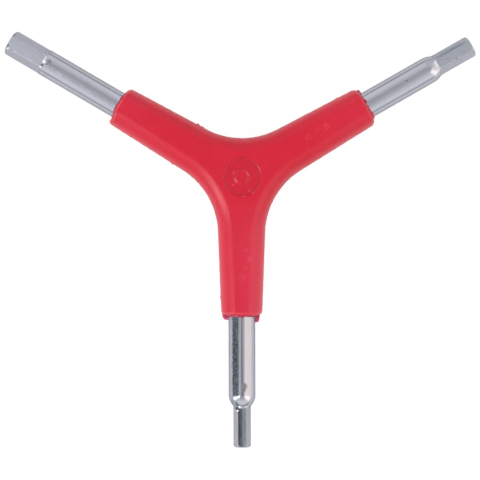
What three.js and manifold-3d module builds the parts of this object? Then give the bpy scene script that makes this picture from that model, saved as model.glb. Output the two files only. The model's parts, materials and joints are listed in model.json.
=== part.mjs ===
// Y-shaped hex wrench lying flat: three steel bars moulded into one plastic handle.
// Millimetres, +Z up. The origin is the middle of the handle's underside, on which it rests.
// The 4 mm bar points along -Y, with the 5 mm bar to its right and the 6 mm bar to its left.

import * as THREE from 'three';
import { mergeVertices, toCreasedNormals } from 'three/addons/utils/BufferGeometryUtils.js';
import Module from 'manifold-3d';

// Where the arms point, anticlockwise from +X
const ARM_5_ANGLE = THREE.MathUtils.degToRad(29.6);
const ARM_6_ANGLE = THREE.MathUtils.degToRad(149.5);
const ARM_4_ANGLE = THREE.MathUtils.degToRad(270);

// Handle seen from above: three tapering sleeves that meet at the hub
const SLEEVE_WIDTH_AT_HUB = 13.4; // between the straight sides, at the hub's centre
const SLEEVE_WIDTH_AT_MOUTH = 10.5;
const UPPER_SLEEVE_LENGTH = 38; // from the hub's centre to the mouth
const LOWER_SLEEVE_LENGTH = 36.6;
const CROTCH_RADIUS = 20; // of the hollow curve between two sleeves
const MOUTH_CORNER_RADIUS = 2;

// Handle in section: flat above and below, with flanks that are quarter ellipses
const HANDLE_THICKNESS = 12;
const FLANK_ROUND_WIDTH = 3.65;
const MOUTH_EDGE_RADIUS = 1.6;

// Shallow round recess in the top of the hub, with the raised ring of the moulding gate
const RECESS_DIAMETER = 10.2;
const RECESS_DEPTH = 0.4;
const RECESS_WALL_SLOPE = 0.15;
const RECESS_OFFSET = 0.4; // towards +Y from the hub's centre
const GATE_RING_DIAMETER = 4.6;
const GATE_RING_WIDTH = 0.7;
const GATE_RING_HEIGHT = 0.2;

// Every bar's shank, with the key and the groove by which the handle holds it
const SHANK_DIAMETER = 7;
const BAR_START = 6; // from the hub's centre to the bar's inner end
const KEY_ACROSS_FLATS = 5.2; // two flats stop the bar turning in the handle
const KEY_LENGTH = 8;
const GROOVE_DISTANCE = 14; // from the bar's inner end; the groove stops it pulling out
const GROOVE_WIDTH = 3;
const GROOVE_DIAMETER = 5.4;
const STEP_SLOPE_LENGTH = 0.5;

// Hex end of the 4 mm bar
const BAR_4_LENGTH = 65;
const BAR_4_ACROSS_FLATS = 4;
const BAR_4_HEX_LENGTH = 10.9; // from the tip to the foot of the turned shoulder
const BAR_4_SHOULDER_RADIUS = 4.1;
const BAR_4_TIP_RADIUS = 0.6;

// Hex end of the 5 mm bar
const BAR_5_LENGTH = 63.6;
const BAR_5_ACROSS_FLATS = 5;
const BAR_5_HEX_LENGTH = 10.7;
const BAR_5_SHOULDER_RADIUS = 5.8;
const BAR_5_TIP_RADIUS = 0.7;
const BAR_5_TURN = THREE.MathUtils.degToRad(-6); // it lies turned a little about its own axis

// Hex end of the 6 mm bar
const BAR_6_LENGTH = 64.5;
const BAR_6_ACROSS_FLATS = 6;
const BAR_6_HEX_LENGTH = 10.4;
const BAR_6_SHOULDER_RADIUS = 4.1;
const BAR_6_TIP_RADIUS = 0.9;

// Arc in which the flats run out towards the shank
const FLAT_RUNOUT_RADIUS = 4.5;

// Clearances and cuts
const MOULD_GAP = 0.3; // between a bar and the plastic round it
const CUT_OVERRUN = 1;
const MERGE_DISTANCE = 1e-4;

// How finely curves are divided
const FLANK_STEPS = 7;
const CROTCH_STEPS = 16;
const CORNER_STEPS = 5;
const SHANK_SIDES = 36; // a multiple of six, so that each corner of a hexagon is a vertex
const RECESS_SIDES = 48;
const SHOULDER_STEPS = 5;
const RUNOUT_STEPS = 5;
const TIP_STEPS = 3;

const FULL_TURN = 2 * Math.PI;
const QUARTER_TURN = FULL_TURN / 4;
const KEY_FLATS = 2;
const HEX_FLATS = 6;
const HEX_HALF_FACE = FULL_TURN / 12;
const CREASE_ANGLE = THREE.MathUtils.degToRad(25);

// The arms, anticlockwise from above
const ARMS = [
  {
    name: 'hex_bar_5mm',
    angle: ARM_5_ANGLE,
    turn: BAR_5_TURN,
    sleeveLength: UPPER_SLEEVE_LENGTH,
    length: BAR_5_LENGTH,
    acrossFlats: BAR_5_ACROSS_FLATS,
    hexLength: BAR_5_HEX_LENGTH,
    shoulderRadius: BAR_5_SHOULDER_RADIUS,
    tipRadius: BAR_5_TIP_RADIUS,
  },
  {
    name: 'hex_bar_6mm',
    angle: ARM_6_ANGLE,
    turn: 0,
    sleeveLength: UPPER_SLEEVE_LENGTH,
    length: BAR_6_LENGTH,
    acrossFlats: BAR_6_ACROSS_FLATS,
    hexLength: BAR_6_HEX_LENGTH,
    shoulderRadius: BAR_6_SHOULDER_RADIUS,
    tipRadius: BAR_6_TIP_RADIUS,
  },
  {
    name: 'hex_bar_4mm',
    angle: ARM_4_ANGLE,
    turn: 0,
    sleeveLength: LOWER_SLEEVE_LENGTH,
    length: BAR_4_LENGTH,
    acrossFlats: BAR_4_ACROSS_FLATS,
    hexLength: BAR_4_HEX_LENGTH,
    shoulderRadius: BAR_4_SHOULDER_RADIUS,
    tipRadius: BAR_4_TIP_RADIUS,
  },
];

const wasm = await Module();
wasm.setup();

// Whole numbers from 0 to count, both included.
function steps(count) {
  return Array.from({ length: count + 1 }, (_, k) => k);
}

// An angle brought between minus half a turn and half a turn.
function shortestTurn(angle) {
  return THREE.MathUtils.euclideanModulo(angle + FULL_TURN / 2, FULL_TURN) - FULL_TURN / 2;
}

// The length along an arc's tangent in which the arc falls away from it by the given drop.
function arcLength(radius, drop) {
  const depth = Math.min(Math.max(drop, 0), radius);
  return Math.sqrt(radius ** 2 - (radius - depth) ** 2);
}

// How far an arc has fallen away from its tangent after the given length.
function arcDrop(radius, length) {
  return radius - Math.sqrt(Math.max(radius ** 2 - length ** 2, 0));
}

// A closed surface through rings of equally many points, with a flat cap on each end.
// The points run anticlockwise as seen from the last ring, and flatten makes a point 2-D.
function loft(rings, flatten) {
  const count = rings[0].length;
  const indices = [];
  rings.slice(1).forEach((_, band) => {
    for (let k = 0; k < count; k += 1) {
      const low = band * count + k;
      const lowNext = band * count + ((k + 1) % count);
      indices.push(low, lowNext, lowNext + count);
      indices.push(low, lowNext + count, low + count);
    }
  });
  const lastRing = (rings.length - 1) * count;
  THREE.ShapeUtils.triangulateShape(rings[0].map(flatten), []).forEach(([a, b, c]) => {
    indices.push(a, c, b);
  });
  THREE.ShapeUtils.triangulateShape(rings.at(-1).map(flatten), []).forEach(([a, b, c]) => {
    indices.push(lastRing + a, lastRing + b, lastRing + c);
  });
  const geometry = new THREE.BufferGeometry().setFromPoints(rings.flat());
  geometry.setIndex(indices);
  return geometry;
}

// The manifold solid of a closed geometry.
function solidOf(geometry) {
  const surface = new THREE.BufferGeometry();
  surface.setAttribute('position', geometry.getAttribute('position'));
  surface.setIndex(geometry.index);
  const merged = mergeVertices(surface, MERGE_DISTANCE);
  return new wasm.Manifold(
    new wasm.Mesh({
      numProp: merged.getAttribute('position').itemSize,
      vertProperties: merged.getAttribute('position').array,
      triVerts: new Uint32Array(merged.index.array),
    }),
  );
}

// The geometry of a manifold solid.
function geometryOf(solid) {
  const { numProp, vertProperties, triVerts } = solid.getMesh();
  const geometry = new THREE.BufferGeometry();
  geometry.setAttribute('position', new THREE.BufferAttribute(vertProperties, numProp));
  geometry.setIndex(new THREE.BufferAttribute(triVerts, 1));
  return geometry;
}

// An edge of the plan is a line, given by its outward angle and its distance from the hub.
function sleeveEdges(arm, flankInset, mouthInset) {
  const narrowing = (SLEEVE_WIDTH_AT_HUB - SLEEVE_WIDTH_AT_MOUTH) / 2;
  const taper = Math.atan2(narrowing, arm.sleeveLength);
  const flank = (SLEEVE_WIDTH_AT_HUB / 2) * Math.cos(taper) - flankInset;
  return {
    right: { angle: arm.angle - QUARTER_TURN + taper, distance: flank },
    mouth: { angle: arm.angle, distance: arm.sleeveLength - mouthInset },
    left: { angle: arm.angle + QUARTER_TURN - taper, distance: flank },
  };
}

// The arc that joins two edges of the plan. A negative radius makes a hollow curve.
function edgeArc(first, second, radius, count) {
  const a = first.distance - radius;
  const b = second.distance - radius;
  const spread = Math.sin(second.angle - first.angle);
  const x = (a * Math.sin(second.angle) - b * Math.sin(first.angle)) / spread;
  const y = (b * Math.cos(first.angle) - a * Math.cos(second.angle)) / spread;
  const turn = shortestTurn(second.angle - first.angle);
  return steps(count).map((k) => {
    const angle = first.angle + (turn * k) / count;
    return new THREE.Vector2(x + radius * Math.cos(angle), y + radius * Math.sin(angle));
  });
}

// The handle's plan, anticlockwise, drawn in by one inset at the flanks and one at the mouths.
function handleOutline(flankInset, mouthInset) {
  const halfMouth = SLEEVE_WIDTH_AT_MOUTH / 2 - flankInset;
  const cornerRadius = Math.min(MOUTH_CORNER_RADIUS, halfMouth / 2);
  const crotchRadius = CROTCH_RADIUS + flankInset;
  return ARMS.flatMap((arm, i) => {
    const edges = sleeveEdges(arm, flankInset, mouthInset);
    const next = sleeveEdges(ARMS[(i + 1) % ARMS.length], flankInset, mouthInset);
    return [
      ...edgeArc(edges.right, edges.mouth, cornerRadius, CORNER_STEPS),
      ...edgeArc(edges.mouth, edges.left, cornerRadius, CORNER_STEPS),
      ...edgeArc(edges.left, next.right, -crotchRadius, CROTCH_STEPS),
    ];
  });
}

// The whole outer form: outlines stacked from the flat underside to the flat top.
function handleForm() {
  const halfThickness = HANDLE_THICKNESS / 2;
  const rings = steps(2 * FLANK_STEPS).map((k) => {
    const slope = (QUARTER_TURN * (k - FLANK_STEPS)) / FLANK_STEPS;
    const height = halfThickness * Math.sin(slope);
    const flankInset = FLANK_ROUND_WIDTH * (1 - Math.cos(slope));
    const intoEdge = Math.max(Math.abs(height) - halfThickness + MOUTH_EDGE_RADIUS, 0);
    const mouthInset = arcDrop(MOUTH_EDGE_RADIUS, intoEdge);
    return handleOutline(flankInset, mouthInset).map(
      (point) => new THREE.Vector3(point.x, point.y, halfThickness + height),
    );
  });
  return solidOf(loft(rings, (point) => new THREE.Vector2(point.x, point.y)));
}

// What is cut from the top of the hub: a shallow disc that leaves the gate's ring standing.
function recessCut() {
  const floor = HANDLE_THICKNESS - RECESS_DEPTH;
  const radius = RECESS_DIAMETER / 2;
  const ringRadius = GATE_RING_DIAMETER / 2;
  const top = HANDLE_THICKNESS + CUT_OVERRUN;
  const wallSlope = RECESS_WALL_SLOPE * (1 + CUT_OVERRUN / RECESS_DEPTH);
  const profile = [
    new THREE.Vector2(0, floor),
    new THREE.Vector2(ringRadius - GATE_RING_WIDTH / 2, floor),
    new THREE.Vector2(ringRadius, floor + GATE_RING_HEIGHT),
    new THREE.Vector2(ringRadius + GATE_RING_WIDTH / 2, floor),
    new THREE.Vector2(radius - RECESS_WALL_SLOPE, floor),
    new THREE.Vector2(radius - RECESS_WALL_SLOPE + wallSlope, top),
    new THREE.Vector2(0, top),
  ];
  const cut = new THREE.LatheGeometry(profile, RECESS_SIDES);
  cut.rotateX(QUARTER_TURN);
  cut.translate(0, RECESS_OFFSET, 0);
  return solidOf(cut);
}

// A ring round the X axis: a circle with any number of flats cut into it, one facing up.
function barSection(x, radius, flats = 0, apothem = radius) {
  const pitch = FULL_TURN / Math.max(flats, 1);
  return steps(SHANK_SIDES - 1).map((k) => {
    const angle = (FULL_TURN * k) / SHANK_SIDES;
    const fromFlat = angle - QUARTER_TURN + pitch / 2;
    const offFlat = THREE.MathUtils.euclideanModulo(fromFlat, pitch) - pitch / 2;
    const onFlat = apothem / Math.max(Math.cos(offFlat), apothem / radius);
    const distance = flats > 0 ? onFlat : radius;
    return new THREE.Vector3(x, distance * Math.cos(angle), distance * Math.sin(angle));
  });
}

// The rings of the held end, from the bar's inner end outwards. With a gap, they are those
// of the plastic round it, which keeps that gap on every face.
function seatSections(gap) {
  const radius = SHANK_DIAMETER / 2 + gap;
  const keyApothem = KEY_ACROSS_FLATS / 2 + gap;
  const grooveRadius = GROOVE_DIAMETER / 2 + gap;
  const keyEnd = BAR_START + KEY_LENGTH - gap;
  const grooveStart = BAR_START + GROOVE_DISTANCE + gap;
  const grooveEnd = BAR_START + GROOVE_DISTANCE + GROOVE_WIDTH - gap;
  return [
    barSection(BAR_START - gap, radius, KEY_FLATS, keyApothem),
    barSection(keyEnd, radius, KEY_FLATS, keyApothem),
    barSection(keyEnd + STEP_SLOPE_LENGTH, radius),
    barSection(grooveStart, radius),
    barSection(grooveStart + STEP_SLOPE_LENGTH, grooveRadius),
    barSection(grooveEnd - STEP_SLOPE_LENGTH, grooveRadius),
    barSection(grooveEnd, radius),
  ];
}

// The rings of the free end: shank, turned shoulder, flats running in, hexagon, rounded tip.
function hexSections(arm) {
  const shankRadius = SHANK_DIAMETER / 2;
  const apothem = arm.acrossFlats / 2;
  const cornerRadius = apothem / Math.cos(HEX_HALF_FACE);
  const neckRadius = Math.min(cornerRadius, shankRadius);
  const tip = BAR_START + arm.length;
  const shoulderFoot = tip - arm.hexLength;
  const shoulderLength = arcLength(arm.shoulderRadius, shankRadius - neckRadius);
  const runoutLength = arcLength(FLAT_RUNOUT_RADIUS, neckRadius - apothem);
  const shoulder = steps(SHOULDER_STEPS).map((k) => {
    const along = (shoulderLength * k) / SHOULDER_STEPS;
    const radius = shankRadius - arcDrop(arm.shoulderRadius, along);
    return barSection(shoulderFoot - shoulderLength + along, radius);
  });
  const runout = steps(RUNOUT_STEPS).slice(1).map((k) => {
    const toFull = runoutLength * (1 - k / RUNOUT_STEPS);
    const flatHeight = apothem + arcDrop(FLAT_RUNOUT_RADIUS, toFull);
    return barSection(shoulderFoot + runoutLength - toFull, neckRadius, HEX_FLATS, flatHeight);
  });
  const end = steps(TIP_STEPS).map((k) => {
    const along = (arm.tipRadius * k) / TIP_STEPS;
    const radius = neckRadius - arcDrop(arm.tipRadius, along);
    return barSection(tip - arm.tipRadius + along, radius, HEX_FLATS, apothem);
  });
  return [...shoulder, ...runout, ...end];
}

// One bar along +X, with its flats up, about its own axis.
function barForm(arm) {
  const rings = [...seatSections(0), ...hexSections(arm)];
  return loft(rings, (point) => new THREE.Vector2(point.y, point.z));
}

// The room in the handle for one bar, out through its mouth.
function barCavity(arm) {
  const mouth = barSection(arm.sleeveLength + CUT_OVERRUN, SHANK_DIAMETER / 2 + MOULD_GAP);
  const rings = [...seatSections(MOULD_GAP), mouth];
  return loft(rings, (point) => new THREE.Vector2(point.y, point.z));
}

// Plated steel, a material for each bar.
function platedSteel() {
  return new THREE.MeshStandardMaterial({ color: 0xb9bbc0, roughness: 0.25, metalness: 1 });
}

// Glossy red moulded plastic.
function redPlastic() {
  return new THREE.MeshStandardMaterial({ color: 0xd43243, roughness: 0.4, metalness: 0 });
}

// A named mesh whose rounded faces are smooth and whose edges are sharp.
function namedMesh(name, geometry, material) {
  const mesh = new THREE.Mesh(toCreasedNormals(geometry, CREASE_ANGLE), material);
  mesh.name = name;
  return mesh;
}

const wrench = new THREE.Group();
const bars = ARMS.map((arm) => {
  const place = new THREE.Group();
  place.position.z = HANDLE_THICKNESS / 2;
  place.rotation.z = arm.angle;
  const bar = namedMesh(arm.name, barForm(arm), platedSteel());
  bar.rotation.x = arm.turn;
  place.add(bar);
  wrench.add(place);
  return bar;
});
wrench.updateMatrixWorld(true);

const cavities = ARMS.map((arm, i) => solidOf(barCavity(arm).applyMatrix4(bars[i].matrixWorld)));
const handle = [recessCut(), ...cavities].reduce((rest, cut) => rest.subtract(cut), handleForm());
wrench.add(namedMesh('grip_handle', geometryOf(handle), redPlastic()));

export default wrench;
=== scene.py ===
"""Y-shaped hex wrench: three plated steel bars moulded into one red plastic handle.

Lengths in this file are millimetres, and a mesh is turned into metres when it is made. Each arm
has its own frame: s runs from the hub's centre out along the arm, v to its left as seen from
above, and z up from the surface that the wrench lies on.
"""
import json
import logging
from dataclasses import dataclass
from enum import Enum
from functools import reduce
from math import atan2, cos, degrees, hypot, radians, sin, sqrt, tan

import bmesh
import bpy
import numpy as np
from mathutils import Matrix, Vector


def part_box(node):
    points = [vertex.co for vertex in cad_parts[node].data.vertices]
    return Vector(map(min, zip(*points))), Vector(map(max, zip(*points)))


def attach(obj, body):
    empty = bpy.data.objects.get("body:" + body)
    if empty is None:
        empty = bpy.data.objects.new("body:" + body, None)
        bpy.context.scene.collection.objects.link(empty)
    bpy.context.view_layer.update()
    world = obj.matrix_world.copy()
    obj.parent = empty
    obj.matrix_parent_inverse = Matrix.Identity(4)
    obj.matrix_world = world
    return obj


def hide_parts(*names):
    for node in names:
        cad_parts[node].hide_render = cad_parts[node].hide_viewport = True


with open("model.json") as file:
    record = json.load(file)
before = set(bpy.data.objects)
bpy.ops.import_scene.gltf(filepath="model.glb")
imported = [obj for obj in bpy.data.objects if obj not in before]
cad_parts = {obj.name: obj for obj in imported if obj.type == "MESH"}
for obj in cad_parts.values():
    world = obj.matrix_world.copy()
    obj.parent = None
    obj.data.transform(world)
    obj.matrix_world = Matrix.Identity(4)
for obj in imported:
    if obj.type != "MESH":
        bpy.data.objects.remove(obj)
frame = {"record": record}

Array = np.ndarray
Colour = tuple[float, float, float]
Pair = tuple[float, float]
Triple = tuple[float, float, float]

MM = 0.001
BODY = "root"
MERGE_DISTANCE = 1e-7  # metres
FULL_TURN = 2 * np.pi
QUARTER_TURN = FULL_TURN / 4
HEX_SIDES = 6
KEY_SIDES = 2
HALF_SIDE = FULL_TURN / 12  # half the angle that one of the six flats takes up
BELOW_ALL = (-3.0, -2.0)  # a rise that is over before the sky begins

log = logging.getLogger("wrench")


def arc_drop(radius: float, length: Array) -> Array:
    """How far an arc has fallen from its tangent, R - sqrt(R^2 - length^2), from 0 to R."""
    return radius - np.sqrt(radius**2 - np.clip(length, 0, radius) ** 2)


def arc_length(radius: float, drop: float) -> float:
    """The length along the tangent in which an arc falls away by the drop."""
    return sqrt(radius**2 - (radius - min(drop, radius)) ** 2)


def smooth_step(value: Array, low: float, high: float) -> Array:
    """A smooth rise from 0 at low to 1 at high: 3t^2 - 2t^3 for t between 0 and 1."""
    t = np.clip((value - low) / (high - low), 0, 1)
    return t * t * (3 - 2 * t)


def plateau(value: Array, low: float, high: float, edge: float) -> Array:
    """1 between low and high, falling smoothly to 0 within the edge on either side."""
    return smooth_step(value, low - edge, low) * smooth_step(-value, -high - edge, -high)


@dataclass(frozen=True)
class Ripple:
    """An uneven height field: a sum of cosine waves in random directions."""

    seed: int
    wavelength: float
    waves: int = 9
    spread: float = 0.5

    def at(self, x: Array, y: Array) -> Array:
        """The sum over the waves of cos(k . p + phase), scaled to about -1 to 1.

        Args:
            x: First coordinates.
            y: Second coordinates, of a shape that goes with the first.

        Returns:
            The height at each place.
        """
        random = np.random.default_rng(self.seed)
        heading = random.uniform(0, FULL_TURN, self.waves)
        phase = random.uniform(0, FULL_TURN, self.waves)
        stretch = 1 + self.spread * random.uniform(-1, 1, self.waves)
        count = FULL_TURN / (self.wavelength * stretch)
        x, y = np.broadcast_arrays(x, y)
        along = x[..., None] * np.cos(heading) + y[..., None] * np.sin(heading)
        return np.cos(count * along + phase).sum(axis=-1) / sqrt(2 * self.waves)


@dataclass
class Sheet:
    """A surface as a grid of points, rows by columns by xyz.

    Three more values may go with each point: how much it is thin flash, how much painted
    shade it has, and how much painted highlight or pale film it has.
    """

    points: Array
    closed: bool = False
    values: Array | float = 0

    def faces(self, first: int) -> Array:
        """The grid's four-sided faces.

        Args:
            first: The index that the grid's first point has in the mesh.

        Returns:
            One row of four point indices for each face.
        """
        rows, columns = self.points.shape[:2]
        index = first + np.arange(rows * columns).reshape(rows, columns)
        if self.closed:
            index = np.concatenate([index, index[:, :1]], axis=1)
        corners = (index[:-1, :-1], index[:-1, 1:], index[1:, 1:], index[1:, :-1])
        return np.stack(corners, axis=-1).reshape(-1, 4)


@dataclass
class Shell:
    """Sheets that meet edge to edge, sewn into one mesh."""

    name: str
    sheets: list[Sheet]
    value_name: str = ""
    sharp_angle: float = radians(38)

    def mesh(self) -> bpy.types.Mesh:
        """Joins the sheets, merges the seams and poles, and turns all faces outwards.

        Returns:
            The mesh, in metres.
        """
        starts = np.cumsum([0] + [sheet.points[..., 0].size for sheet in self.sheets])
        points = np.concatenate([sheet.points.reshape(-1, 3) for sheet in self.sheets])
        faces = np.concatenate([s.faces(int(n)) for s, n in zip(self.sheets, starts)])
        mesh = bpy.data.meshes.new(self.name)
        mesh.from_pydata((points * MM).tolist(), [], faces.tolist())
        if self.value_name:
            values = np.concatenate([
                np.broadcast_to(sheet.values, sheet.points.shape).reshape(-1, 3)
                for sheet in self.sheets
            ])
            layer = mesh.attributes.new(self.value_name, "FLOAT_VECTOR", "POINT")
            layer.data.foreach_set("vector", values.astype(np.float32).reshape(-1))
        sewn = bmesh.new()
        sewn.from_mesh(mesh)
        bmesh.ops.remove_doubles(sewn, verts=sewn.verts, dist=MERGE_DISTANCE)
        bmesh.ops.dissolve_degenerate(sewn, edges=sewn.edges, dist=MERGE_DISTANCE)
        bmesh.ops.recalc_face_normals(sewn, faces=sewn.faces)
        open_edges = sum(not edge.is_manifold for edge in sewn.edges)
        sewn.to_mesh(mesh)
        sewn.free()
        mesh.shade_smooth()
        mesh.set_sharp_from_angle(angle=self.sharp_angle)
        log.info("%s: %d faces, %d open edges", self.name, len(mesh.polygons), open_edges)
        return mesh

    def piece(self) -> bpy.types.Object:
        """Puts the mesh into the scene, at the origin.

        Returns:
            Its object.
        """
        piece = bpy.data.objects.new(self.name, self.mesh())
        bpy.context.scene.collection.objects.link(piece)
        return piece


class Wire:
    """A shader socket in a sum: every operator adds a Math node to the tree."""

    def __init__(self, tree: "Tree", socket: bpy.types.NodeSocket) -> None:
        """Keeps the socket and the tree that it belongs to."""
        self.tree = tree
        self.socket = socket

    def maths(self, operation: str, *values: "Wire | float") -> "Wire":
        """The result of a Math node on these values, in the order of its sockets."""
        return self.tree.add("ShaderNodeMath", {"operation": operation}, dict(enumerate(values)))

    def __add__(self, other: "Wire | float") -> "Wire":
        """This value and the other, added."""
        return self.maths("ADD", self, other)

    def __sub__(self, other: "Wire | float") -> "Wire":
        """This value less the other."""
        return self.maths("SUBTRACT", self, other)

    def __rsub__(self, other: float) -> "Wire":
        """The other less this value."""
        return self.maths("SUBTRACT", other, self)

    def __mul__(self, other: "Wire | float") -> "Wire":
        """This value times the other."""
        return self.maths("MULTIPLY", self, other)

    def __truediv__(self, other: "Wire | float") -> "Wire":
        """This value divided by the other."""
        return self.maths("DIVIDE", self, other)

    __radd__ = __add__
    __rmul__ = __mul__

    def root(self) -> "Wire":
        """The square root of this value."""
        return self.maths("SQRT", self)

    def size(self) -> "Wire":
        """This value without its sign."""
        return self.maths("ABSOLUTE", self)

    def at_least(self, other: "Wire | float") -> "Wire":
        """The larger of this value and the other."""
        return self.maths("MAXIMUM", self, other)

    def smooth(self, low: float, high: float) -> "Wire":
        """A smooth rise from 0 where this value is low to 1 where it is high."""
        inputs = {"Value": self, "From Min": low, "From Max": high}
        return self.tree.add("ShaderNodeMapRange", {"interpolation_type": "SMOOTHSTEP"}, inputs)

    def between(self, rise: Pair, fall: Pair) -> "Wire":
        """1 from the end of the rise to the start of the fall, and 0 outside both."""
        return self.smooth(*rise) * (1 - self.smooth(*fall))


@dataclass(frozen=True)
class Grain:
    """Noise: bumps per millimetre, finer layers, how strong they are, and the part kept."""

    scale: float
    detail: float = 2
    roughness: float = 0.5
    kept: Pair | None = None


class Tree:
    """The node tree of a material or of the world, while it is being written."""

    def __init__(self, owner: bpy.types.ID) -> None:
        """Empties a tree to write it anew.

        Args:
            owner: The material or world that the tree belongs to.
        """
        owner.use_nodes = True
        self.nodes = owner.node_tree.nodes
        self.links = owner.node_tree.links
        self.nodes.clear()

    def add(
        self, kind: str, settings: dict | None = None, inputs: dict | None = None, output: int = 0
    ) -> Wire:
        """Adds any node: its settings first, then what goes into its sockets.

        Args:
            kind: The node's type.
            settings: Its properties by name. The stops of a ramp are (place, brightness) pairs.
            inputs: Links or plain values by the name or number of the socket.
            output: Which of its outputs to give back.

        Returns:
            That output.
        """
        node = self.nodes.new(kind)
        for name, value in (settings or {}).items():
            if name == "stops":
                ramp = node.color_ramp.elements
                ramp.remove(ramp[-1])
                for k, (place, brightness) in enumerate(value):
                    stop = ramp.new(place) if k else ramp[0]
                    stop.position = place
                    stop.color = (brightness, brightness, brightness, 1)
            else:
                setattr(node, name, value)
        for key, value in (inputs or {}).items():
            socket = node.inputs[key]
            if isinstance(value, Wire):
                self.links.new(value.socket, socket)
            elif isinstance(value, tuple) and socket.type == "RGBA":
                socket.default_value = (*value, 1)
            else:
                socket.default_value = value
        return Wire(self, node.outputs[output] if len(node.outputs) else None)

    def mix(self, factor: Wire | float, first: Wire | Colour, second: Wire | Colour) -> Wire:
        """The first colour where the factor is 0, and the second where it is 1."""
        inputs = {0: factor, 6: first, 7: second}
        return self.add("ShaderNodeMix", {"data_type": "RGBA"}, inputs, output=2)

    def noise(self, place: Wire, grain: Grain) -> Wire:
        """Noise between 0 and 1, or the rise of it that the grain keeps.

        Args:
            place: The coordinates that it is laid out in.
            grain: The kind of noise.

        Returns:
            The noise.
        """
        noise = self.add("ShaderNodeTexNoise", {}, {
            "Vector": place, "Scale": grain.scale,
            "Detail": grain.detail, "Roughness": grain.roughness,
        })
        return noise.smooth(*grain.kept) if grain.kept else noise

    def mapped(self, place: Wire, settings: dict) -> Wire:
        """Coordinates through a Mapping node with these settings."""
        return self.add("ShaderNodeMapping", {}, {"Vector": place, **settings})

    def placed(self, turn: float = 0, lift: float = 0) -> Wire:
        """Object coordinates in millimetres, in the frame of an arm of this turn and lift."""
        scaled = self.mapped(self.add("ShaderNodeTexCoord", output=3), {"Scale": (1 / MM,) * 3})
        return self.mapped(scaled, {"Location": (0, 0, -lift), "Rotation": (0, 0, -turn)})

    def parts(self, place: Wire) -> tuple[Wire, Wire, Wire]:
        """The three numbers of a vector."""
        split = self.add("ShaderNodeSeparateXYZ", {}, {"Vector": place})
        return tuple(Wire(self, output) for output in split.socket.node.outputs)

    def principled(self, height: Wire, inputs: dict) -> None:
        """Ends a material with the Principled shader.

        Args:
            height: The height of its bump, in millimetres.
            inputs: What else goes into the shader.
        """
        bump = self.add("ShaderNodeBump", {}, {"Height": height, "Distance": MM})
        shader = self.add("ShaderNodeBsdfPrincipled", {}, {"Normal": bump, **inputs})
        self.add("ShaderNodeOutputMaterial", {}, {"Surface": shader})


class MarkKind(Enum):
    """A mark on the steel or a painted highlight: its colour, its strength, and how much it roughens.
    """

    STAIN = ((0.18, 0.175, 0.16), 0.75, 0.35)
    STREAK = ((0.22, 0.27, 0.33), 0.7, 0.0)
    NICK = ((0.06, 0.06, 0.065), 0.9, 0.2)
    # a painted highlight
    GLINT = ((0.95, 0.95, 0.96), 0.9, 0.3)


@dataclass(frozen=True)
class Mark:
    """One mark or painted highlight on a bar's upper side, by where it lies and how large it is."""

    kind: MarkKind
    s: float
    v: float
    length: float
    width: float


@dataclass(frozen=True)
class Fin:
    """A thin tongue of flash that sticks out of a sleeve's mouth in the parting plane."""

    v_from: float
    v_to: float
    reach: float
    slant: float
    roundness: float = 0.5
    rounded: Pair = (-1.2, 1.2)  # the u between which the rounding grows

    def end(self, v: Array) -> Array:
        """Its edge along the arm: reach + slant u - roundness u^4, with u from -1 to 1 across."""
        u = (2 * v - self.v_from - self.v_to) / (self.v_to - self.v_from)
        return self.reach + self.slant * u - self.roundness * np.clip(u, *self.rounded) ** 4


@dataclass(frozen=True)
class Mouth:
    """How one sleeve's mouth departs from a straight cut."""

    seed: int
    setback: float
    corner_radius: float
    lip_height: float
    raggedness: float
    # how much painted shade the end face and lip get
    lip_shade: float
    # how strong the painted highlight on the rounded edge is
    rim: float
    lip_thin: float = 0
    film: float = 0
    tilt: float = 0
    bow: float = 0
    low_place: float = 0
    low_width: float = 1
    low_depth: float = 0
    fins: tuple[Fin, ...] = ()

    def shift(self, v: Array) -> Array:
        """How far it lies out: -setback + tilt v + bow v^2 - depth exp(-((v - place)/width)^2)."""
        low = self.low_depth * np.exp(-(((v - self.low_place) / self.low_width) ** 2))
        return -self.setback + self.tilt * v + self.bow * v**2 - low


@dataclass(frozen=True)
class Arm:
    """One arm of the wrench: its bar and the sleeve round it."""

    node: str
    mount: str
    sleeve_length: float
    across_flats: float
    hex_length: float
    shoulder_radius: float
    runout_radius: float
    runout_end: float
    tip_radius: float
    turn: float
    mouth: Mouth
    shank_roughness: float
    hex_roughness: float
    mottle: float
    marks: tuple[Mark, ...] = ()

    @property
    def tip(self) -> Array:
        """The middle of the bar's end face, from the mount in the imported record."""
        mounts = {mount["name"]: mount for mount in frame["record"]["mounts"]}
        return np.array(mounts[self.mount]["pos_m"]) / MM

    @property
    def angle(self) -> float:
        """Where the arm points, anticlockwise from +X."""
        return atan2(self.tip[1], self.tip[0])

    @property
    def reach(self) -> float:
        """From the hub's centre to the bar's end face."""
        return hypot(self.tip[0], self.tip[1])

    def place(self, s: Array, v: Array, z: Array) -> Array:
        """Points of the arm's frame in the wrench's frame.

        Args:
            s: Distances along the arm.
            v: Distances to its left.
            z: Heights.

        Returns:
            The points, with x, y and z on the last axis.
        """
        s, v, z = np.broadcast_arrays(s, v, z)
        x = s * cos(self.angle) - v * sin(self.angle)
        y = s * sin(self.angle) + v * cos(self.angle)
        return np.stack([x, y, z], axis=-1)


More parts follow.
